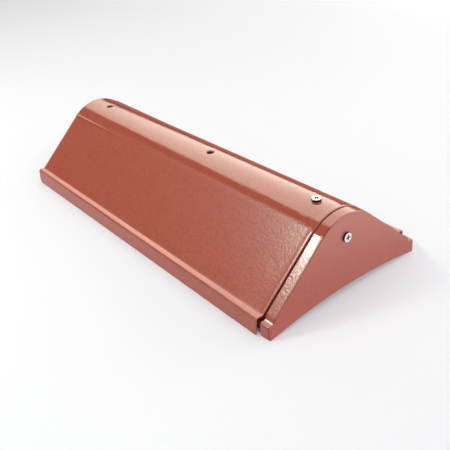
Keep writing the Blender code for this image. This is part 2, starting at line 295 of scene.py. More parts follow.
def outline_path(corners, radii, arc_steps):
    """Straight legs between corners, with an arc at each inner corner.

    Returns points (n, 2), their left-hand normals and their distances along the path. On an arc
    the normal turns evenly, and the point is the centre plus or minus the radius times it.
    """
    corners = np.array(corners, float)
    legs = np.diff(corners, axis=0)
    headings = np.arctan2(legs[:, 1], legs[:, 0])
    turns = (np.diff(headings) + math.pi) % (2 * math.pi) - math.pi
    points, angles = [corners[:1]], [headings[:1]]
    for corner, heading, turn, radius, arc_step in zip(corners[1:-1], headings, turns, radii, arc_steps):
        side = math.copysign(1.0, turn)
        ahead = np.array([math.cos(heading), math.sin(heading)])
        centre = corner - ahead * radius * math.tan(abs(turn) / 2)
        centre = centre + side * radius * np.array([-ahead[1], ahead[0]])
        bend = heading + turn * np.linspace(0, 1, max(2, math.ceil(abs(turn) / arc_step)) + 1)
        arc = centre - side * radius * np.column_stack([-np.sin(bend), np.cos(bend)])
        share = flat_shares(points[-1][-1], arc[0])[:-1]
        points += [points[-1][-1] * (1 - share) + arc[0] * share, arc]
        angles += [np.full(len(share), heading), bend]
    share = flat_shares(points[-1][-1], corners[-1])
    points.append(points[-1][-1] * (1 - share) + corners[-1] * share)
    angles.append(np.full(len(share), headings[-1]))
    points, angles = np.concatenate(points), np.concatenate(angles)
    normals = np.column_stack([-np.sin(angles), np.cos(angles)])
    along = np.concatenate([[0], np.cumsum(np.linalg.norm(np.diff(points, axis=0), axis=1))])
    return points, normals, along


def path_at(path, stations):
    """Points and unit normals of a path at distances along it, straight between its own points."""
    points, normals, along = path
    spots = np.stack([np.interp(stations, along, points[:, k]) for k in (0, 1)], -1)
    facing = np.stack([np.interp(stations, along, normals[:, k]) for k in (0, 1)], -1)
    return spots, facing / np.linalg.norm(facing, axis=-1, keepdims=True)


def merged_stations(stations, extra, closest=LEAST_ROW_GAP):
    """Both sets of distances in order, without any of the first set that crowds one of the second."""
    gaps = np.abs(np.asarray(stations)[:, None] - np.asarray(extra)[None, :]).min(1)
    return np.unique(np.concatenate([np.asarray(stations)[gaps > closest], extra]))


def mirrored(corners):
    """A half outline that ends at the peak, completed with its mirror image."""
    return corners + [(-y, z) for y, z in reversed(corners[:-1])]


def grid_faces(rows, columns, keep=None):
    """The four-sided faces of a grid of points, numbered row by row; keep marks the cells to make."""
    corner = np.arange(rows - 1)[:, None] * columns + np.arange(columns - 1)[None, :]
    faces = np.stack([corner, corner + 1, corner + columns + 1, corner + columns], -1)
    return faces[keep] if keep is not None else faces.reshape(-1, 4)


def both_sides(middle, facing, distance, keep=None, painted_shade=0.0):
    """Two faces of a sheet from grids of its middle points, unit normals and edge distances.

    Each face stands off the middle by the half thickness, along the normal and against it. The
    marks beside the points say how much each is underside and how much painted shade it takes.
    """
    offset = facing * half_thickness(distance)[..., None]
    faces = grid_faces(*distance.shape, keep)
    outer = (middle + offset).reshape(-1, 3)
    inner = (middle - offset).reshape(-1, 3)
    painted_shade = np.broadcast_to(painted_shade, distance.shape).reshape(-1)
    marks = np.column_stack([np.repeat([0.0, 1.0], len(outer)), np.concatenate([painted_shade, 0 * painted_shade])])
    return np.concatenate([outer, inner]), np.concatenate([faces, faces[:, ::-1] + len(outer)]), marks


def welded(points, faces, marks):
    """Points that share a place become one, and faces lose the corners that fell together."""
    keys = np.round(points / WELD_GAP).astype(np.int64)
    _, first, place = np.unique(keys, axis=0, return_index=True, return_inverse=True)
    faces = place.reshape(-1)[faces]
    same = faces == np.roll(faces, -1, axis=1)
    folded = (faces[:, 0] == faces[:, 2]) | (faces[:, 1] == faces[:, 3])
    fours = faces[~same.any(1) & ~folded]
    slim = (same.sum(1) == 1) & ~folded
    threes = faces[slim][~same[slim]].reshape(-1, 3)
    used = np.unique(np.concatenate([fours.reshape(-1), threes.reshape(-1)]))
    faces = np.searchsorted(used, fours).tolist() + np.searchsorted(used, threes).tolist()
    return points[first][used], faces, marks[first][used]


def mesh_object(name, parts, material):
    """One closed mesh from several parts, welded where they meet, riding on the body.

    No point of it lies below the floor.
    """
    shift = np.cumsum([0] + [len(points) for points, _, _ in parts])
    points = np.concatenate([points for points, _, _ in parts])
    faces = np.concatenate([faces + first for (_, faces, _), first in zip(parts, shift)])
    marks = np.concatenate([marks for _, _, marks in parts])
    points[:, 2] = np.maximum(points[:, 2], 0)
    points, faces, marks = welded(points, faces, marks)
    mesh = bpy.data.meshes.new(name)
    mesh.from_pydata(points.tolist(), [], faces)
    # The second mark is the share of painted shade at each point.
    for column, mark_name in enumerate(("underside", "painted_shade")):
        attribute = mesh.attributes.new(mark_name, "FLOAT", "POINT")
        attribute.data.foreach_set("value", marks[:, column].astype(np.float32))
    mesh.shade_smooth()
    mesh.materials.append(material)
    item = bpy.data.objects.new(name, mesh)
    bpy.context.scene.collection.objects.link(item)
    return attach(item, "root")


def cover_path():
    """The cover's outline, from the near skirt's foot over the crown to the far one."""
    corners = mirrored([(-half_foot, 0.0), (-half_top, SKIRT_HEIGHT), (-ledge_inner, ledge_inner_z),
                        (0.0, peak_z)])
    bends = [SKIRT_BEND_RADIUS, LEDGE_FILLET_RADIUS]
    steps = [BEND_ARC_STEP] * len(bends)
    return outline_path(corners, bends + [CROWN_RADIUS] + bends[::-1], steps + [CROWN_ARC_STEP] + steps)


def cover_edge_distance(x, along, length):
    """Distance in the unfolded sheet to its edge, a rectangle with each foot's corners rounded."""
    near_side = np.minimum(along, length - along)
    total = np.minimum(np.minimum(x - cover_low.x, cover_high.x - x), near_side)
    for end, radius in ((x - cover_low.x, FAR_CORNER_RADIUS), (cover_high.x - x, NEAR_CORNER_RADIUS)):
        corner = radius - np.hypot(radius - end, radius - near_side)
        total = np.where((end < radius) & (near_side < radius), corner, total)
    return np.clip(total, 0, None)


def set_back(along, length, radius):
    """How far the end edge stands back at a distance up the skirt: r - sqrt(r^2 - (r - s)^2)."""
    low = np.clip(radius - np.minimum(along, length - along), 0, radius)
    return radius - np.sqrt(radius ** 2 - low ** 2)


def far_crease(x, along, length):
    """The bend's mark where each flank meets the crown: a fine ridge that fades from the far end.

    Its height falls as the square root of the share of its length that is left.
    """
    from_line = np.abs(along - length / 2) - FLANK_ANGLE * CROWN_RADIUS
    fade = np.clip(1 - (x - cover_low.x) / CREASE_LENGTH, 0, 1) ** 0.5
    return bump(from_line, CREASE_HEIGHT * fade, CREASE_WIDTH)


def cover_middle(path, x, along, length):
    """The sheet's middle at places in the unfolded sheet: the outline set in by half a sheet.

    It rises in a low lip just inside every free edge.
    """
    spots, facing = path_at(path, along)
    edge = cover_edge_distance(x, along, length)
    calm = np.clip(edge / COVER_CALM, 0, 1)
    lip = bump(edge - LIP_PLACE, LIP_HEIGHT, LIP_WIDTH)
    wave = waviness(x, along, COVER_SEED) * calm
    offset = wave + far_crease(x, along, length) + lip - SHEET / 2
    middle = np.concatenate([x[..., None], spots + facing * offset[..., None]], -1)
    return middle, np.concatenate([np.zeros(x.shape + (1,)), facing], -1), edge


def hole_rings(radius, collar):
    """A hole's rings from its edge outward: places out and down, the sheet's turn and edge distance.

    A plain hole lies flat. A collar's middle goes straight down at half a sheet from the hole, and
    at a turn t of its bend of radius b it lies b (1 - sin t) out and b (1 - cos t) down.
    """
    if not collar:
        flat = 0 * EDGE_STATIONS
        return radius + EDGE_STATIONS, flat, flat, EDGE_STATIONS
    wall = COLLAR_DEPTH - np.append(EDGE_STATIONS[:ROUND_EDGE_POINTS], COLLAR_DEPTH / 2)
    bend = np.linspace(math.pi / 2, 0, COLLAR_BEND_POINTS)
    turn = np.concatenate([np.full(len(wall), math.pi / 2), bend])
    down = np.concatenate([wall, COLLAR_BEND * (1 - np.cos(bend))])
    out = radius + SHEET / 2 + COLLAR_BEND * (1 - np.sin(turn))
    return out, down, turn, COLLAR_DEPTH - down + out - out[0]


def hole_patch(path, centre_x, radius, length, collar):
    """Rings from a round hole out to the square of cells left open for it in the cover's grid.

    The painted shade mark fills a collar below its bend, and is a fine line round a plain hole.
    """
    side = np.linspace(-1, 1, HOLE_CELLS + 1)[:-1]
    one = np.ones(HOLE_CELLS)
    sides = [np.column_stack(pair) for pair in ((side, -one), (one, side), (-side, one), (-one, -side))]
    square = np.concatenate(sides + [sides[0][:1]]) * HOLE_REACH
    outward = square / np.linalg.norm(square, axis=1, keepdims=True)
    out, down, turn, to_lip = [ring[::-1, None] for ring in hole_rings(radius, collar)]
    places = np.concatenate([square[None], outward * out[..., None]])
    down, turn, to_lip = [np.concatenate([flat, ring])
                          for flat, ring in (([[0.0]], down), ([[0.0]], turn), ([[HOLE_REACH]], to_lip))]
    x, along = centre_x + places[..., 0], length / 2 + places[..., 1]
    middle, facing, edge = cover_middle(path, x, along, length)
    tangent = np.stack([0 * x, facing[..., 2], -facing[..., 1]], -1)
    radial = outward[None, :, :1] * np.array([1.0, 0, 0]) + outward[None, :, 1:] * tangent
    middle = middle - facing * down[..., None]
    facing = facing * np.cos(turn)[..., None] - radial * np.sin(turn)[..., None]
    # Painted shade down a collar's wall, and in a fine line round a plain hole.
    painted_hole_shade = smooth_step(down / COLLAR_SHADE_DEPTH) if collar else bump(to_lip, 1.0, HOLE_SHADE_WIDTH)
    return both_sides(middle, facing, np.minimum(edge, to_lip), painted_shade=painted_hole_shade)


def cover_rows(path):
    """Distances along the cover's girth, finer at its feet, the bends' marks and the crown's holes."""
    along = path[2]
    length = along[-1]
    arc = FLANK_ANGLE * CROWN_RADIUS
    hole_rows = length / 2 + np.linspace(-HOLE_REACH, HOLE_REACH, HOLE_CELLS + 1)
    corner = FAR_CORNER_RADIUS * (1 - np.cos(np.linspace(0, math.pi / 2, CORNER_POINTS)))
    foot = merged_stations(corner, EDGE_STATIONS)
    base = along[np.abs(along - length / 2) > HOLE_REACH]
    rows = merged_stations(base, np.concatenate([foot, length - foot, hole_rows]))
    creases = [length / 2 + side * arc + CREASE_STATIONS for side in (-1, 1)]
    return merged_stations(rows, np.concatenate(creases), CREASE_ROW_GAP)


def cover_columns(hole_places):
    """Places along the cover's length, finer at its two ends and at the holes."""
    across = [np.linspace(x - HOLE_REACH, x + HOLE_REACH, HOLE_CELLS + 1) for x in hole_places]
    ends = [cover_low.x + COVER_END_STATIONS, cover_high.x - COVER_END_STATIONS]
    marks = np.concatenate(ends[:1] + across + ends[1:])
    steps = round((cover_high.x - cover_low.x) / LENGTH_STEP)
    even = np.linspace(cover_low.x, cover_high.x, steps + 1)
    inside = np.any([np.abs(even - x) < HOLE_REACH for x in hole_places], axis=0)
    return merged_stations(even[~inside], marks, COLUMN_GAP)


def cover_parts():
    """The cover's two faces over its unfolded length and girth, and a ring patch for each hole.

    The columns near each end lean back to follow the rounded corners at the feet.
    """
    path = cover_path()
    length = path[2][-1]
    holes = [(cover_low.x + FAR_HOLE_INSET, HOLE_DIAMETER / 2, True),
             (cover_low.x + MIDDLE_HOLE_INSET, HOLE_DIAMETER / 2, True),
             (crown_screw_x, SHANK_RADIUS + CLEAR_GAP, False)]
    rows = cover_rows(path)
    columns = cover_columns([x for x, _, _ in holes])
    far = np.clip(1 - (columns - cover_low.x) / CORNER_REACH, 0, 1)
    near = np.clip(1 - (cover_high.x - columns) / CORNER_REACH, 0, 1)
    along = np.repeat(rows[:, None], len(columns), 1)
    x = (columns + set_back(along, length, FAR_CORNER_RADIUS) * far
         - set_back(along, length, NEAR_CORNER_RADIUS) * near)
    middle, facing, distance = cover_middle(path, x, along, length)
    row_middle = (rows[1:] + rows[:-1]) / 2
    column_middle = (columns[1:] + columns[:-1]) / 2
    keep = np.ones((len(rows) - 1, len(columns) - 1), bool)
    for centre, _, _ in holes:
        keep &= ~((np.abs(row_middle - length / 2) < HOLE_REACH)[:, None]
                  & (np.abs(column_middle - centre) < HOLE_REACH)[None, :])
    patches = [hole_patch(path, centre, radius, length, collar) for centre, radius, collar in holes]
    return [both_sides(middle, facing, distance, keep)] + patches


def cap_path():
    """The cap's outline: the cover's flanks and crown set in a little, on a smaller, lower foot.

    A narrow chamfer fills the corner between the foot's ledge and the riser above it.
    """
    foot = half_top - CAP_FOOT_SET_IN
    ledge_z = SKIRT_HEIGHT - CAP_LEDGE_STEP
    ledge_end = foot - CAP_LEDGE_WIDTH
    cap_peak_z = peak_z - CAP_SET_IN / math.cos(FLANK_ANGLE)
    flank, riser = math.tan(FLANK_ANGLE), math.tan(CAP_RISER_ANGLE)
    run = (cap_peak_z - ledge_end * flank - ledge_z) / (riser - flank)
    top = CHAMFER_LENGTH * math.sin(CHAMFER_ANGLE)
    inner = ledge_end - top / riser
    outer = inner + CHAMFER_LENGTH * math.cos(CHAMFER_ANGLE)
    corners = mirrored([(-foot, 0.0), (-foot, ledge_z), (-outer, ledge_z), (-inner, ledge_z + top),
                        (run - ledge_end, ledge_z + run * riser), (0.0, cap_peak_z)])
    radii = [CAP_CORNER_RADIUS, CAP_RISER_FILLET, CAP_RISER_FILLET, CAP_SHOULDER_RADIUS]
    steps = [BEND_ARC_STEP] * len(radii)
    return outline_path(corners, radii + [CROWN_RADIUS - CAP_SET_IN] + radii[::-1],
                        steps + [CROWN_ARC_STEP] + steps)


def cap_sheet(middle, facing_x, facing_across, back, distance):
    """Middle points, unit normals and edge distances of one stretch of the cap's sheet.

    Every row leans with the plate: x = plate - z tan(lean) - back.
    """
    shape = distance.shape
    x = cap_high.x - middle[..., 1] * math.tan(CAP_LEAN) - np.broadcast_to(back, shape)
    facing_across = np.broadcast_to(facing_across, shape + (2,))
    facing = np.concatenate([np.broadcast_to(facing_x, shape)[..., None], facing_across], -1)
    return np.concatenate([x[..., None], middle], -1), facing, distance


def cap_flange(spots, across, beside, foot_distance):
    """The flange, which steps down from the rim's edge to run under the cover.

    The step is D (3 s^2 - 2 s^3) with s the share of its length. Within the tongue's half angle
    on the crown the flange grows out to the tongue.
    """
    on_tongue = smooth_step(0.5 - beside / TONGUE_BLEND)
    lengths = FLANGE_LENGTH + (TONGUE_LENGTH - FLANGE_LENGTH) * on_tongue
    step = np.linspace(0, 1, BEND_POINTS)[1:] * FLANGE_STEP_LENGTH
    end = EDGE_STATIONS[::-1]
    run = np.linspace(0, 1, FLANGE_RUN_POINTS)[1:-1]
    inward = np.concatenate([np.broadcast_to(step, (len(spots), len(step))),
                             step[-1] + (lengths[:, None] - end[0] - step[-1]) * run,
                             lengths[:, None] - end], 1)[:, ::-1]
    drop = SHEET + CLEAR_GAP - CAP_SET_IN + RIM_LIFT
    fall = drop * smooth_step(inward / FLANGE_STEP_LENGTH) - RIM_LIFT
    middle = spots[:, None] - across[:, None] * (SHEET / 2 + fall)[..., None]
    distance = np.minimum(lengths[:, None] - inward, foot_distance[:, None])
    return cap_sheet(middle, 0.0, across[:, None], CAP_RIM_DEPTH + inward, distance)


def cap_rim(spots, across, along, foot_distance):
    """The rim, which tapers a little towards the plate."""
    flat = CAP_RIM_DEPTH - CAP_BEND_RADIUS
    depth = np.concatenate([RIM_STATIONS, np.linspace(RIM_FLAT_START, flat, RIM_FLAT_POINTS)])
    calm = np.clip(depth / RIM_EDGE_CALM, 0, 1) * np.clip((flat - depth) / RIM_BEND_CALM, 0, 1)
    wave = waviness(depth[None, :], along[:, None], RIM_SEED) * calm
    offset = wave + RIM_LIFT - RIM_TAPER * depth
    middle = spots[:, None] - across[:, None] * (SHEET / 2 - offset)[..., None]
    distance = np.broadcast_to(foot_distance[:, None], offset.shape)
    return cap_sheet(middle, 0.0, across[:, None], CAP_RIM_DEPTH - depth, distance)


def cap_bend(inset, across, foot_distance):
    """The bend from the rim to the plate, an arc about the inset line."""
    angle = np.linspace(math.pi / 2, 0, BEND_POINTS)[1:]
    radius = CAP_BEND_RADIUS - SHEET / 2
    middle = inset[:, None] + across[:, None] * (radius * np.sin(angle))[None, :, None]
    distance = np.broadcast_to(foot_distance[:, None], middle.shape[:2])
    return cap_sheet(middle, np.cos(angle), across[:, None] * np.sin(angle)[None, :, None],
                     CAP_BEND_RADIUS - radius * np.cos(angle), distance)


def cap_plate(inset, along, length, foot_distance):
    """The plate, straight from the inset line to the arch below, by shares of that reach.

    Where the reach is short, beside the feet, the points near both its ends crowd together.
    """
    half_span = -inset[0, 0]
    arch_radius = (half_span ** 2 + CAP_ARCH_RISE ** 2) / (2 * CAP_ARCH_RISE)
    arch_y = half_span * (2 * along / length - 1)
    arch_z = np.sqrt(arch_radius ** 2 - arch_y ** 2) - (arch_radius - CAP_ARCH_RISE)
    drop = np.column_stack([arch_y, arch_z]) - inset
    reach = np.maximum(np.linalg.norm(drop, axis=1), 1e-9)[:, None]
    near = PLATE_TOP_STATIONS
    far = EDGE_STATIONS[::-1]
    start = near * np.minimum(1, PLATE_CORNER_SHARE * reach / near[-1])
    end = reach - far * np.minimum(1, PLATE_CORNER_SHARE * reach / far[0])
    share = np.linspace(0, 1, PLATE_RUN_POINTS)[1:-1]
    down = np.concatenate([start, start[:, -1:] * (1 - share) + end[:, :1] * share, end], 1)
    middle = inset[:, None] + drop[:, None] * (down / reach)[..., None]
    distance = np.minimum(reach - down, np.maximum(foot_distance[:, None], middle[..., 1]))
    calm = np.clip(distance / PLATE_EDGE_CALM, 0, 1) * np.clip(down / PLATE_BEND_CALM, 0, 1)
    wave = waviness(middle[..., 0], middle[..., 1], PLATE_SEED) * calm
    return cap_sheet(middle, 1.0, np.zeros(2), SHEET / 2 - wave, distance)


def cap_rows(path, tongue_edge):
    """Distances along the cap's outline, finer at its feet and at the tongue's two sides."""
    along = path[2]
    length = along[-1]
    foot = np.concatenate([EDGE_STATIONS, length - EDGE_STATIONS])
    sides = [length / 2 + side * tongue_edge + TONGUE_SIDE_STATIONS for side in (-1, 1)]
    return merged_stations(merged_stations(along, foot), np.concatenate(sides), CAP_ROW_GAP)


def cap_stretches(path, along, spots, across, tongue_edge):
    """Flange, rim, bend and plate in turn, each as middle points, normals and edge distances."""
    length = path[2][-1]
    beside = np.abs(along - length / 2) - tongue_edge
    foot_distance = np.minimum(along, length - along)
    taper = RIM_TAPER * (CAP_RIM_DEPTH - CAP_BEND_RADIUS)
    inset = spots - across * (CAP_BEND_RADIUS - RIM_LIFT + taper)
    return [cap_flange(spots, across, beside, foot_distance),
            cap_rim(spots, across, along, foot_distance),
            cap_bend(inset, across, foot_distance),
            cap_plate(inset, along, length, foot_distance)]


def cap_parts():
    """Flange, rim, bend and plate as one sheet.

    A fine seam runs along the start of the bend on the near side. The painted shade mark lies
    on the seam, on a faint line near the rim's edge and, beside the crown, on the flange in the gap.
    """
    path = cap_path()
    tongue_edge = TONGUE_HALF_ANGLE * (CROWN_RADIUS - CAP_SET_IN)
    along = cap_rows(path, tongue_edge)
    spots, across = path_at(path, along)
    stretches = cap_stretches(path, along, spots, across, tongue_edge)
    middle, facing, distance = [np.concatenate(values, 1) for values in zip(*stretches)]
    bend_start = sum(stretch[2].shape[1] for stretch in stretches[:2])
    run = np.cumsum(np.linalg.norm(np.diff(middle, axis=1), axis=2), axis=1)
    run = np.concatenate([0 * run[:, :1], run], 1)
    near_side = smooth_step(0.5 - spots[:, :1] / NEAR_SIDE_REACH)
    seam = bump(run - run[:, bend_start:bend_start + 1], near_side, SEAM_WIDTH)
    inward = cap_high.x - middle[..., 2] * math.tan(CAP_LEAN) - middle[..., 0] - CAP_RIM_DEPTH
    line = bump(inward + RIM_LINE_PLACE, RIM_LINE_SHADE * near_side, RIM_LINE_WIDTH)
    beside_crown = smooth_step((np.abs(spots[:, :1]) - GAP_SHADE_START) / GAP_SHADE_REACH)
    gap = beside_crown * smooth_step(inward / GAP_SHADE_DEPTH)
    # Painted shade on the seam, on the line near the rim's edge and on the flange in the gap.
    painted_shade = np.clip(SEAM_SHADE * seam + line + gap, 0, 1)
    middle = middle - facing * (SEAM_DEPTH * seam)[..., None]
    return [both_sides(middle, facing, distance, painted_shade=painted_shade)]


def recess_share(x, y):
    """1 inside the cross-shaped pit, two arms with steep walls that meet in a round middle, else 0."""
    arm_x = np.minimum(RECESS_HALF_ARM - np.abs(y), RECESS_REACH - np.abs(x))
    arm_y = np.minimum(RECESS_HALF_ARM - np.abs(x), RECESS_REACH - np.abs(y))
    middle = RECESS_MIDDLE_RADIUS - np.hypot(x, y)
    return smooth_step(np.maximum(np.maximum(arm_x, arm_y), middle) / RECESS_WALL + 0.5)


def screw_profile():
    """A pan-head screw's half outline, in stretches of radii and heights above its seat.

    They are the head's shallow dome, its shoulder, its side and underside, and the shank's core.
    """
    inner = HEAD_RADIUS - HEAD_SHOULDER_RADIUS
    top_r = np.linspace(0, inner, HEAD_RINGS)
    top_z = HEAD_HEIGHT - HEAD_DOME * (top_r / HEAD_RADIUS) ** 2
    bend = np.linspace(0, math.pi / 2, CORNER_POINTS)[1:]
    shoulder_r = inner + HEAD_SHOULDER_RADIUS * np.sin(bend)
    shoulder_z = top_z[-1] - HEAD_SHOULDER_RADIUS * (1 - np.cos(bend))
    under_r = np.array([HEAD_RADIUS, HEAD_RADIUS, HEAD_RADIUS - HEAD_CHAMFER, SHANK_RADIUS])
    under_z = np.array([shoulder_z[-1] / 2, HEAD_CHAMFER, 0.0, 0.0])
    tip_z = TIP_LENGTH - SHANK_LENGTH
    shank_z = np.concatenate([np.linspace(-SHANK_START, tip_z, SHANK_RINGS),
                              np.linspace(tip_z, -SHANK_LENGTH, TIP_RINGS)[1:]])
    core = (SHANK_RADIUS - THREAD_DEPTH) * np.clip((shank_z + SHANK_LENGTH) / TIP_LENGTH, 0, 1)
    return [(top_r, top_z), (shoulder_r, shoulder_z), (under_r, under_z), (core, shank_z)]


def screw_part(seat, axis):
    """A pan-head screw as one surface turned about its axis.

    The head's top is a shallow dome less a cross-shaped pit; the shank's radius follows a
    threaded saw, highest where z / pitch - angle / 2 pi is whole. The pit and the head's side
    are marked for painted shade.
    """
    turn = np.linspace(0, 2 * math.pi, HEAD_SIDES + 1)
    profile = screw_profile()
    top_rows, shoulder_rows, under_rows, _ = [len(radii) for radii, _ in profile]
    shank_start = top_rows + shoulder_rows + under_rows
    radius = np.concatenate([radii for radii, _ in profile])[:, None] * np.ones(len(turn))
    height = np.concatenate([heights for _, heights in profile])[:, None] * np.ones(len(turn))
    row = np.arange(len(height))[:, None]
    pit = recess_share(radius * np.cos(turn), radius * np.sin(turn)) * (row < top_rows)
    slope = 1 - RECESS_SLOPE * np.clip(radius / RECESS_REACH, 0, 1)
    height = height - RECESS_DEPTH * slope * pit
    saw = np.abs((height / THREAD_PITCH - turn / (2 * math.pi)) % 1 * 2 - 1)
    taper = np.clip((height + SHANK_LENGTH) / TIP_LENGTH, 0, 1)
    radius = radius + THREAD_DEPTH * saw ** THREAD_SHARPNESS * taper * (row >= shank_start)
    local = np.stack([radius * np.cos(turn), radius * np.sin(turn), height], -1).reshape(-1, 3)
    place = np.array(Matrix.Translation(seat) @ axis.to_track_quat("Z", "Y").to_matrix().to_4x4())
    points = local @ place[:3, :3].T + place[:3, 3]
    # Painted shade down the head's side, and with the pit in the cross.
    side = (row >= top_rows + shoulder_rows // 2) & (row < shank_start)
    marks = np.column_stack([np.zeros(len(points)), np.maximum(pit, side).reshape(-1)])
    return points, grid_faces(*height.shape)[:, ::-1], marks


def new_material(name):
    """A material, its node tree and its Principled shader."""
    material = bpy.data.materials.new(name)
    material.use_nodes = True
    return material, material.node_tree, material.node_tree.nodes["Principled BSDF"]


def put(tree, socket, value):
    """Links a socket to another one or sets its value."""
    if isinstance(value, bpy.types.NodeSocket):
        tree.links.new(value, socket)
    else:
        socket.default_value = value


def calculate(tree, operation, *values):
    """A Math node's result."""
    made = tree.nodes.new("ShaderNodeMath")
    made.operation = operation
    for socket, value in zip(made.inputs, values):
        put(tree, socket, value)
    return made.outputs[0]


def ramp(tree, value, start, end, low, high):
    """A value carried smoothly from low at start to high at end."""
    made = tree.nodes.new("ShaderNodeMapRange")
    made.interpolation_type = "SMOOTHSTEP"
    for socket, item in zip(made.inputs, (value, start, end, low, high)):
        put(tree, socket, item)
    return made.outputs[0]


def blend(tree, share, first, second):
    """Two colours mixed by a share."""
    made = tree.nodes.new("ShaderNodeMix")
    made.data_type = "RGBA"
    for place, value in ((0, share), (6, first), (7, second)):
        put(tree, made.inputs[place], value)
    return made.outputs[2]


def noise(tree, vector, settings):
    """A noise texture's value, from its scale, detail and roughness."""
    made = tree.nodes.new("ShaderNodeTexNoise")
    put(tree, made.inputs["Vector"], vector)
    for name, value in zip(("Scale", "Detail", "Roughness"), settings):
        put(tree, made.inputs[name], value)
    return made.outputs[0]


def axis_share(tree, vector, axis):
    """One component of a vector."""
    made = tree.nodes.new("ShaderNodeSeparateXYZ")
    put(tree, made.inputs[0], vector)
    return made.outputs[axis]


def mark(tree, name):
    """The value of the mesh's own mark of this name, underside or painted shade."""
    made = tree.nodes.new("ShaderNodeAttribute")
    made.attribute_name = name
    return made.outputs["Fac"]


def orange_peel_group():
    """Shared effect of sprayed and stoved powder: the skin's fine dimples and its faint mottling."""
    group = bpy.data.node_groups.new("orange_peel", "ShaderNodeTree")
    group.interface.new_socket("Vector", in_out="INPUT", socket_type="NodeSocketVector")
    for name in ("Height", "Mottle"):
        group.interface.new_socket(name, in_out="OUTPUT", socket_type="NodeSocketFloat")
    place = group.nodes.new("NodeGroupInput").outputs["Vector"]
    end = group.nodes.new("NodeGroupOutput")
    put(group, end.inputs["Height"], noise(group, place, PEEL_NOISE))
    put(group, end.inputs["Mottle"], noise(group, place, MOTTLE_NOISE))
    return group


def painted_sheen_share(tree, place, normal, painted_sheen):
    """How much painted sheen lies on a point: more towards the crown, and only on what faces +X."""
    across, up = [axis_share(tree, place, axis) for axis in "YZ"]
    height = calculate(tree, "MULTIPLY_ADD", across, SHEEN_SLANT, up)
    height = ramp(tree, height, SHEEN_BOTTOM_Z, SHEEN_TOP_Z, 0.0, painted_sheen)
    facing = ramp(tree, axis_share(tree, normal, "X"), *SHEEN_FACING, 0.0, 1.0)
    return calculate(tree, "MULTIPLY", height, facing)


def ledge_light_share(tree, place, normal, ledge_light):
    """How much painted light lies on a point of the ledge: only beside the flanks and on what faces up.
    """
    start, full = [ledge_inner + outset for outset in LEDGE_LIGHT_OUTSET]
    aside = calculate(tree, "ABSOLUTE", axis_share(tree, place, "Y"))
    aside = ramp(tree, aside, start, full, 0.0, ledge_light)
    upward = ramp(tree, axis_share(tree, normal, "Z"), *LEDGE_LIGHT_FACING, 0.0, 1.0)
    return calculate(tree, "MULTIPLY", aside, upward)


def powder_coat(name, peel, tints, painted_sheen, ledge_light, roughness, peel_depth):
    """Glossy terracotta powder coat mottled between two tints, darker and duller underneath.

    The painted sheen is a share of a paler tint that stands in for the plate's reflection, and the
    painted light on the ledge a share of a brighter one.
    """
    material, tree, shader = new_material(name)
    coordinates = tree.nodes.new("ShaderNodeTexCoord").outputs
    place, normal = coordinates["Object"], coordinates["Normal"]
    skin = tree.nodes.new("ShaderNodeGroup")
    skin.node_tree = peel
    put(tree, skin.inputs["Vector"], place)
    underside = mark(tree, "underside")
    # Painted shade in seams, gaps and holes, taken from the mesh's mark.
    painted_shade = ramp(tree, mark(tree, "painted_shade"), *PAINTED_SHADE_MARKS, 0.0, PAINTED_SHADE_SHARE)
    # Painted shade: the peel's dimples drawn darker and its crests lighter, added to the random mottle.
    dimple_shade = ramp(tree, skin.outputs["Height"], *DIMPLE_SHADE_HEIGHTS, 0.0, DIMPLE_SHADE_SHARE)
    mottle = calculate(tree, "MULTIPLY_ADD", skin.outputs["Mottle"], MOTTLE_SHARE, dimple_shade)
    colour = blend(tree, mottle, *tints)
    # Painted sheen: the paler tint laid on the cap's plate in place of its reflection.
    colour = blend(tree, painted_sheen_share(tree, place, normal, painted_sheen), colour, PLATE_PAINTED_SHEEN)
    # Painted light: the brighter tint on the cover's ledges.
    colour = blend(tree, ledge_light_share(tree, place, normal, ledge_light), colour, LEDGE_PAINTED_LIGHT)
    colour = blend(tree, underside, colour, UNDERSIDE_TINT)
    colour = blend(tree, painted_shade, colour, PAINTED_SHADE_TINT)
    gloss = ramp(tree, underside, 0.0, 1.0, roughness, UNDERSIDE_ROUGHNESS)
    put(tree, shader.inputs["Base Color"], colour)
    put(tree, shader.inputs["Roughness"], gloss)
    dimples = tree.nodes.new("ShaderNodeBump")
    dimples.inputs["Distance"].default_value = peel_depth
    put(tree, dimples.inputs["Height"], skin.outputs["Height"])
    put(tree, shader.inputs["Normal"], dimples.outputs[0])
    return material


def zinc_plate(name, tint):
    """Bright zinc over turned steel, faintly cloudy, with painted shade in the pit and down the head's
    side.
    """
    material, tree, shader = new_material(name)
    shader.inputs["Metallic"].default_value = 1.0
    place = tree.nodes.new("ShaderNodeTexCoord").outputs["Object"]
    cloud = noise(tree, place, CLOUD_NOISE)
    pit = mark(tree, "painted_shade")
    # Painted shade in the pit and down the head's side.
    put(tree, shader.inputs["Base Color"], blend(tree, pit, tint, ZINC_PAINTED_SHADE_TINT))
    put(tree, shader.inputs["Roughness"], ramp(tree, cloud, *CLOUD_LEVELS, *ZINC_ROUGHNESS))
    return material


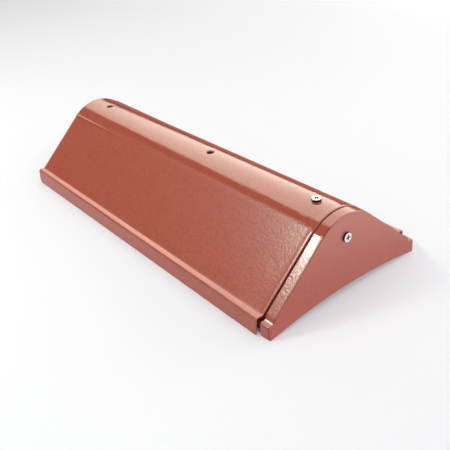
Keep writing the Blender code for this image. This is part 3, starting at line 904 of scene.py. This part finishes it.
def make_pieces():
    """The four pieces, each in place of its CAD solid."""
    peel = orange_peel_group()
    # The crown screw's zinc is drawn darker as painted shade.
    crown_zinc_shaded = zinc_plate("crown_zinc_shaded", CROWN_ZINC_SHADED_TINT)
    plate_zinc = zinc_plate("plate_zinc", PLATE_ZINC_TINT)
    crown_seat = Vector((crown_screw_x, 0, crown_z + CLEAR_GAP))
    out = Vector((math.cos(CAP_LEAN), 0, math.sin(CAP_LEAN)))
    plate_x = cap_high.x - PLATE_SCREW_HEIGHT * math.tan(CAP_LEAN)
    plate_seat = Vector((plate_x, PLATE_SCREW_OFFSET, PLATE_SCREW_HEIGHT)) + out * CLEAR_GAP
    # The cover's coat takes the painted light on its ledges.
    cover_coat = powder_coat("cover_coat", peel, COVER_TINTS, painted_sheen=0.0, ledge_light=1.0,
                             roughness=COVER_ROUGHNESS, peel_depth=COVER_PEEL_DEPTH)
    # The cap's coat takes the painted sheen on its plate.
    cap_coat = powder_coat("end_cap_coat", peel, CAP_TINTS, painted_sheen=CAP_PAINTED_SHEEN, ledge_light=0.0,
                           roughness=CAP_ROUGHNESS, peel_depth=CAP_PEEL_DEPTH)
    pieces = [
        ("cover_sheet", cover_parts(), cover_coat, "cover", "paint"),
        ("end_cap_sheet", cap_parts(), cap_coat, "end_cap", "paint"),
        ("crown_pan_screw", [screw_part(crown_seat, Vector((0, 0, 1)))], crown_zinc_shaded, "crown_screw",
         "plated_steel"),
        ("plate_pan_screw", [screw_part(plate_seat, out)], plate_zinc, "plate_screw", "plated_steel"),
    ]
    for name, parts, material, replaced, slot in pieces:
        item = mesh_object(name, parts, material)
        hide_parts(replaced)


# Camera, at the photograph's angle
VIEW_AZIMUTH = math.radians(53.672)
VIEW_ELEVATION = math.radians(31.104)
VIEW_ROLL = math.radians(-5.51)
VIEW_DISTANCE = 683.83 * MM
VIEW_TARGET = Vector((37.09 * MM, 0.0, -2.01 * MM))
LENS = 52.22
CLIP_START = 0.05
TO_CAMERA = Vector((math.sin(VIEW_AZIMUTH) * math.cos(VIEW_ELEVATION),
                    -math.cos(VIEW_AZIMUTH) * math.cos(VIEW_ELEVATION), math.sin(VIEW_ELEVATION)))


def make_camera():
    """The camera, turned about its own axis by the roll."""
    right = Vector((0, 0, 1)).cross(TO_CAMERA).normalized()
    up = TO_CAMERA.cross(right)
    rolled_right = right * math.cos(VIEW_ROLL) + up * math.sin(VIEW_ROLL)
    rolled_up = up * math.cos(VIEW_ROLL) - right * math.sin(VIEW_ROLL)
    camera = bpy.data.objects.new("camera", bpy.data.cameras.new("camera"))
    camera.data.lens = LENS
    camera.data.clip_start = CLIP_START
    axes = Matrix((rolled_right, rolled_up, TO_CAMERA)).transposed().to_4x4()
    camera.matrix_world = Matrix.Translation(VIEW_TARGET + TO_CAMERA * VIEW_DISTANCE) @ axes
    bpy.context.scene.collection.objects.link(camera)
    bpy.context.scene.camera = camera


# Studio: panels as corners, radiances and colours
BACK_PANEL = [(-1.9, 0.02, 0.98), (-1.9, 0.84, 0.51), (0.15, 1.50, 0.13), (0.15, -0.10, 1.05)]
BACK_COLOUR = (1.0, 0.96, 0.84, 1.0)
BACK_FAR_X = -2.0
BACK_NEAR_X = -0.7
BACK_FAR_RADIANCE = 2.0
BACK_NEAR_RADIANCE = 4.3
BACK_FILL = 0.8
REAR_PANEL = [(-1.3, 1.2, 0.05), (0.9, 1.2, 0.05), (0.9, 1.2, 0.9), (-1.3, 1.2, 0.9)]
REAR_FILL = 3.4
FILL_COLOUR = (0.97, 0.98, 1.0, 1.0)
LAMP_PANEL = [(-2.4, -0.40, 1.0), (-0.60, -0.40, 1.0), (-0.50, -0.60, 1.0), (0.3, -0.60, 1.0),
              (0.3, -1.6, 1.0), (-2.4, -1.6, 1.0)]
LAMP_SPOT = (-0.45, -0.71, 1.0)
LAMP_RADIANCE = 42.0
LAMP_SPREAD = 0.099
LAMP_COLOUR = (0.98, 0.99, 0.95, 1.0)
LAMP_SHINE_COLOUR = (0.86, 0.99, 0.93, 1.0)

# Room, as the sky's radiances and colours by the direction that it is met in
SKY_COLOUR = (0.95, 0.95, 1.0, 1.0)
BEHIND_COLOUR = (0.52, 0.19, 0.13, 1.0)
BACKDROP_COLOUR = (0.93, 0.93, 0.94, 1.0)
DIM_SKY = 0.05
BRIGHT_SKY = 2.15
LOW_SKY = 0.9
DIM_SKY_X = -0.6
BEHIND_TURN = (-0.2, 0.3)
HORIZON_SPAN = (-0.03, 0.03)

# Floor
FLOOR_REACH = 6.0
FLOOR_ROUGHNESS = 0.9
FLOOR_TINT = (0.578, 0.598, 0.573, 1.0)
FLOOR_GLOW = 0.18
FLOOR_GLOW_COLOUR = (1.0, 0.87, 1.03, 1.0)


def flat_object(name, corners, material):
    """A stage piece of one flat face."""
    mesh = bpy.data.meshes.new(name)
    mesh.from_pydata(corners, [], [tuple(range(len(corners)))])
    mesh.materials.append(material)
    item = bpy.data.objects.new(name, mesh)
    bpy.context.scene.collection.objects.link(item)
    return item


def light_panel(name, corners, colour, strength, lights=True, shines=True):
    """A flat glowing panel that lights the scene, shines in reflections or both, and isn't seen.

    One that only shines casts no shadow, so it doesn't dim a lighting panel in the same place.
    """
    material, tree, _ = new_material(name)
    tree.nodes.clear()
    glow = tree.nodes.new("ShaderNodeEmission")
    glow.inputs["Color"].default_value = colour
    put(tree, glow.inputs["Strength"], strength(tree) if callable(strength) else strength)
    put(tree, tree.nodes.new("ShaderNodeOutputMaterial").inputs["Surface"], glow.outputs[0])
    panel = flat_object(name, corners, material)
    panel.visible_camera = False
    panel.visible_diffuse = lights
    panel.visible_shadow = lights
    panel.visible_glossy = shines


def lamp_glow(tree):
    """The soft lamp's radiance: peak / (1 + (distance from its spot / spread)^2)."""
    reach = tree.nodes.new("ShaderNodeVectorMath")
    reach.operation = "DISTANCE"
    put(tree, reach.inputs[0], tree.nodes.new("ShaderNodeTexCoord").outputs["Object"])
    reach.inputs[1].default_value = LAMP_SPOT
    share = calculate(tree, "DIVIDE", reach.outputs["Value"], LAMP_SPREAD)
    square = calculate(tree, "POWER", share, 2.0)
    return calculate(tree, "DIVIDE", LAMP_RADIANCE, calculate(tree, "ADD", square, 1.0))


def back_glow(tree):
    """The back panel's radiance, which rises along X from its far end."""
    place = tree.nodes.new("ShaderNodeTexCoord").outputs["Object"]
    x = axis_share(tree, place, "X")
    return ramp(tree, x, BACK_FAR_X, BACK_NEAR_X, BACK_FAR_RADIANCE, BACK_NEAR_RADIANCE)


def make_sky():
    """A room bright on the capped end's side, dim at the far end and reddish low down behind it.

    Above the horizon the brightness rises evenly with the direction's x from DIM_SKY_X to 1.
    The camera itself sees a plain pale backdrop in the room's place.
    """
    world = bpy.data.worlds.new("studio")
    world.use_nodes = True
    tree = world.node_tree
    sky = tree.nodes["Background"]
    direction = tree.nodes.new("ShaderNodeTexCoord").outputs["Generated"]
    x, y, z = [axis_share(tree, direction, axis) for axis in "XYZ"]
    from_dim = calculate(tree, "MAXIMUM", calculate(tree, "SUBTRACT", x, DIM_SKY_X), 0.0)
    rise = (BRIGHT_SKY - DIM_SKY) / (1 - DIM_SKY_X)
    aside = calculate(tree, "MULTIPLY_ADD", from_dim, rise, DIM_SKY)
    far_side = ramp(tree, y, *BEHIND_TURN, 0.0, 1.0)
    far_end = ramp(tree, x, *BEHIND_TURN, 1.0, 0.0)
    behind = calculate(tree, "MULTIPLY", far_side, far_end)
    above = ramp(tree, z, *HORIZON_SPAN, 0.0, 1.0)
    red_share = calculate(tree, "MULTIPLY", behind, calculate(tree, "SUBTRACT", 1.0, above))
    seen = tree.nodes.new("ShaderNodeLightPath").outputs["Is Camera Ray"]
    colour = blend(tree, red_share, SKY_COLOUR, BEHIND_COLOUR)
    put(tree, sky.inputs["Color"], blend(tree, seen, colour, BACKDROP_COLOUR))
    room = calculate(tree, "MULTIPLY_ADD", calculate(tree, "SUBTRACT", aside, LOW_SKY), above, LOW_SKY)
    to_backdrop = calculate(tree, "SUBTRACT", 1.0, room)
    put(tree, sky.inputs["Strength"], calculate(tree, "MULTIPLY_ADD", to_backdrop, seen, room))
    bpy.context.scene.world = world


def make_floor():
    """A plain pale floor that glows faintly and doesn't show in reflections."""
    pale, _, shader = new_material("pale_floor")
    shader.inputs["Base Color"].default_value = FLOOR_TINT
    shader.inputs["Emission Color"].default_value = FLOOR_GLOW_COLOUR
    shader.inputs["Emission Strength"].default_value = FLOOR_GLOW
    shader.inputs["Roughness"].default_value = FLOOR_ROUGHNESS
    corners = [(x * FLOOR_REACH, y * FLOOR_REACH, 0) for x, y in ((-1, -1), (1, -1), (1, 1), (-1, 1))]
    floor = flat_object("floor", corners, pale)
    floor.visible_glossy = False


def make_studio():
    """Floor, room, panels above and behind, and a soft lamp above the near side.

    The lamp and the panel above are each two panels in one place, one that lights and one that
    shines, because their light and their reflection differ in colour or strength.
    """
    make_floor()
    light_panel("back_panel", BACK_PANEL, BACK_COLOUR, back_glow, lights=False)
    light_panel("back_fill", BACK_PANEL, FILL_COLOUR, BACK_FILL, shines=False)
    light_panel("rear_fill", REAR_PANEL, FILL_COLOUR, REAR_FILL, shines=False)
    light_panel("lamp_light", LAMP_PANEL, LAMP_COLOUR, lamp_glow, shines=False)
    light_panel("lamp_shine", LAMP_PANEL, LAMP_SHINE_COLOUR, lamp_glow, lights=False)
    make_sky()
    bpy.context.scene.view_settings.view_transform = "Standard"


make_pieces()
make_camera()
make_studio()
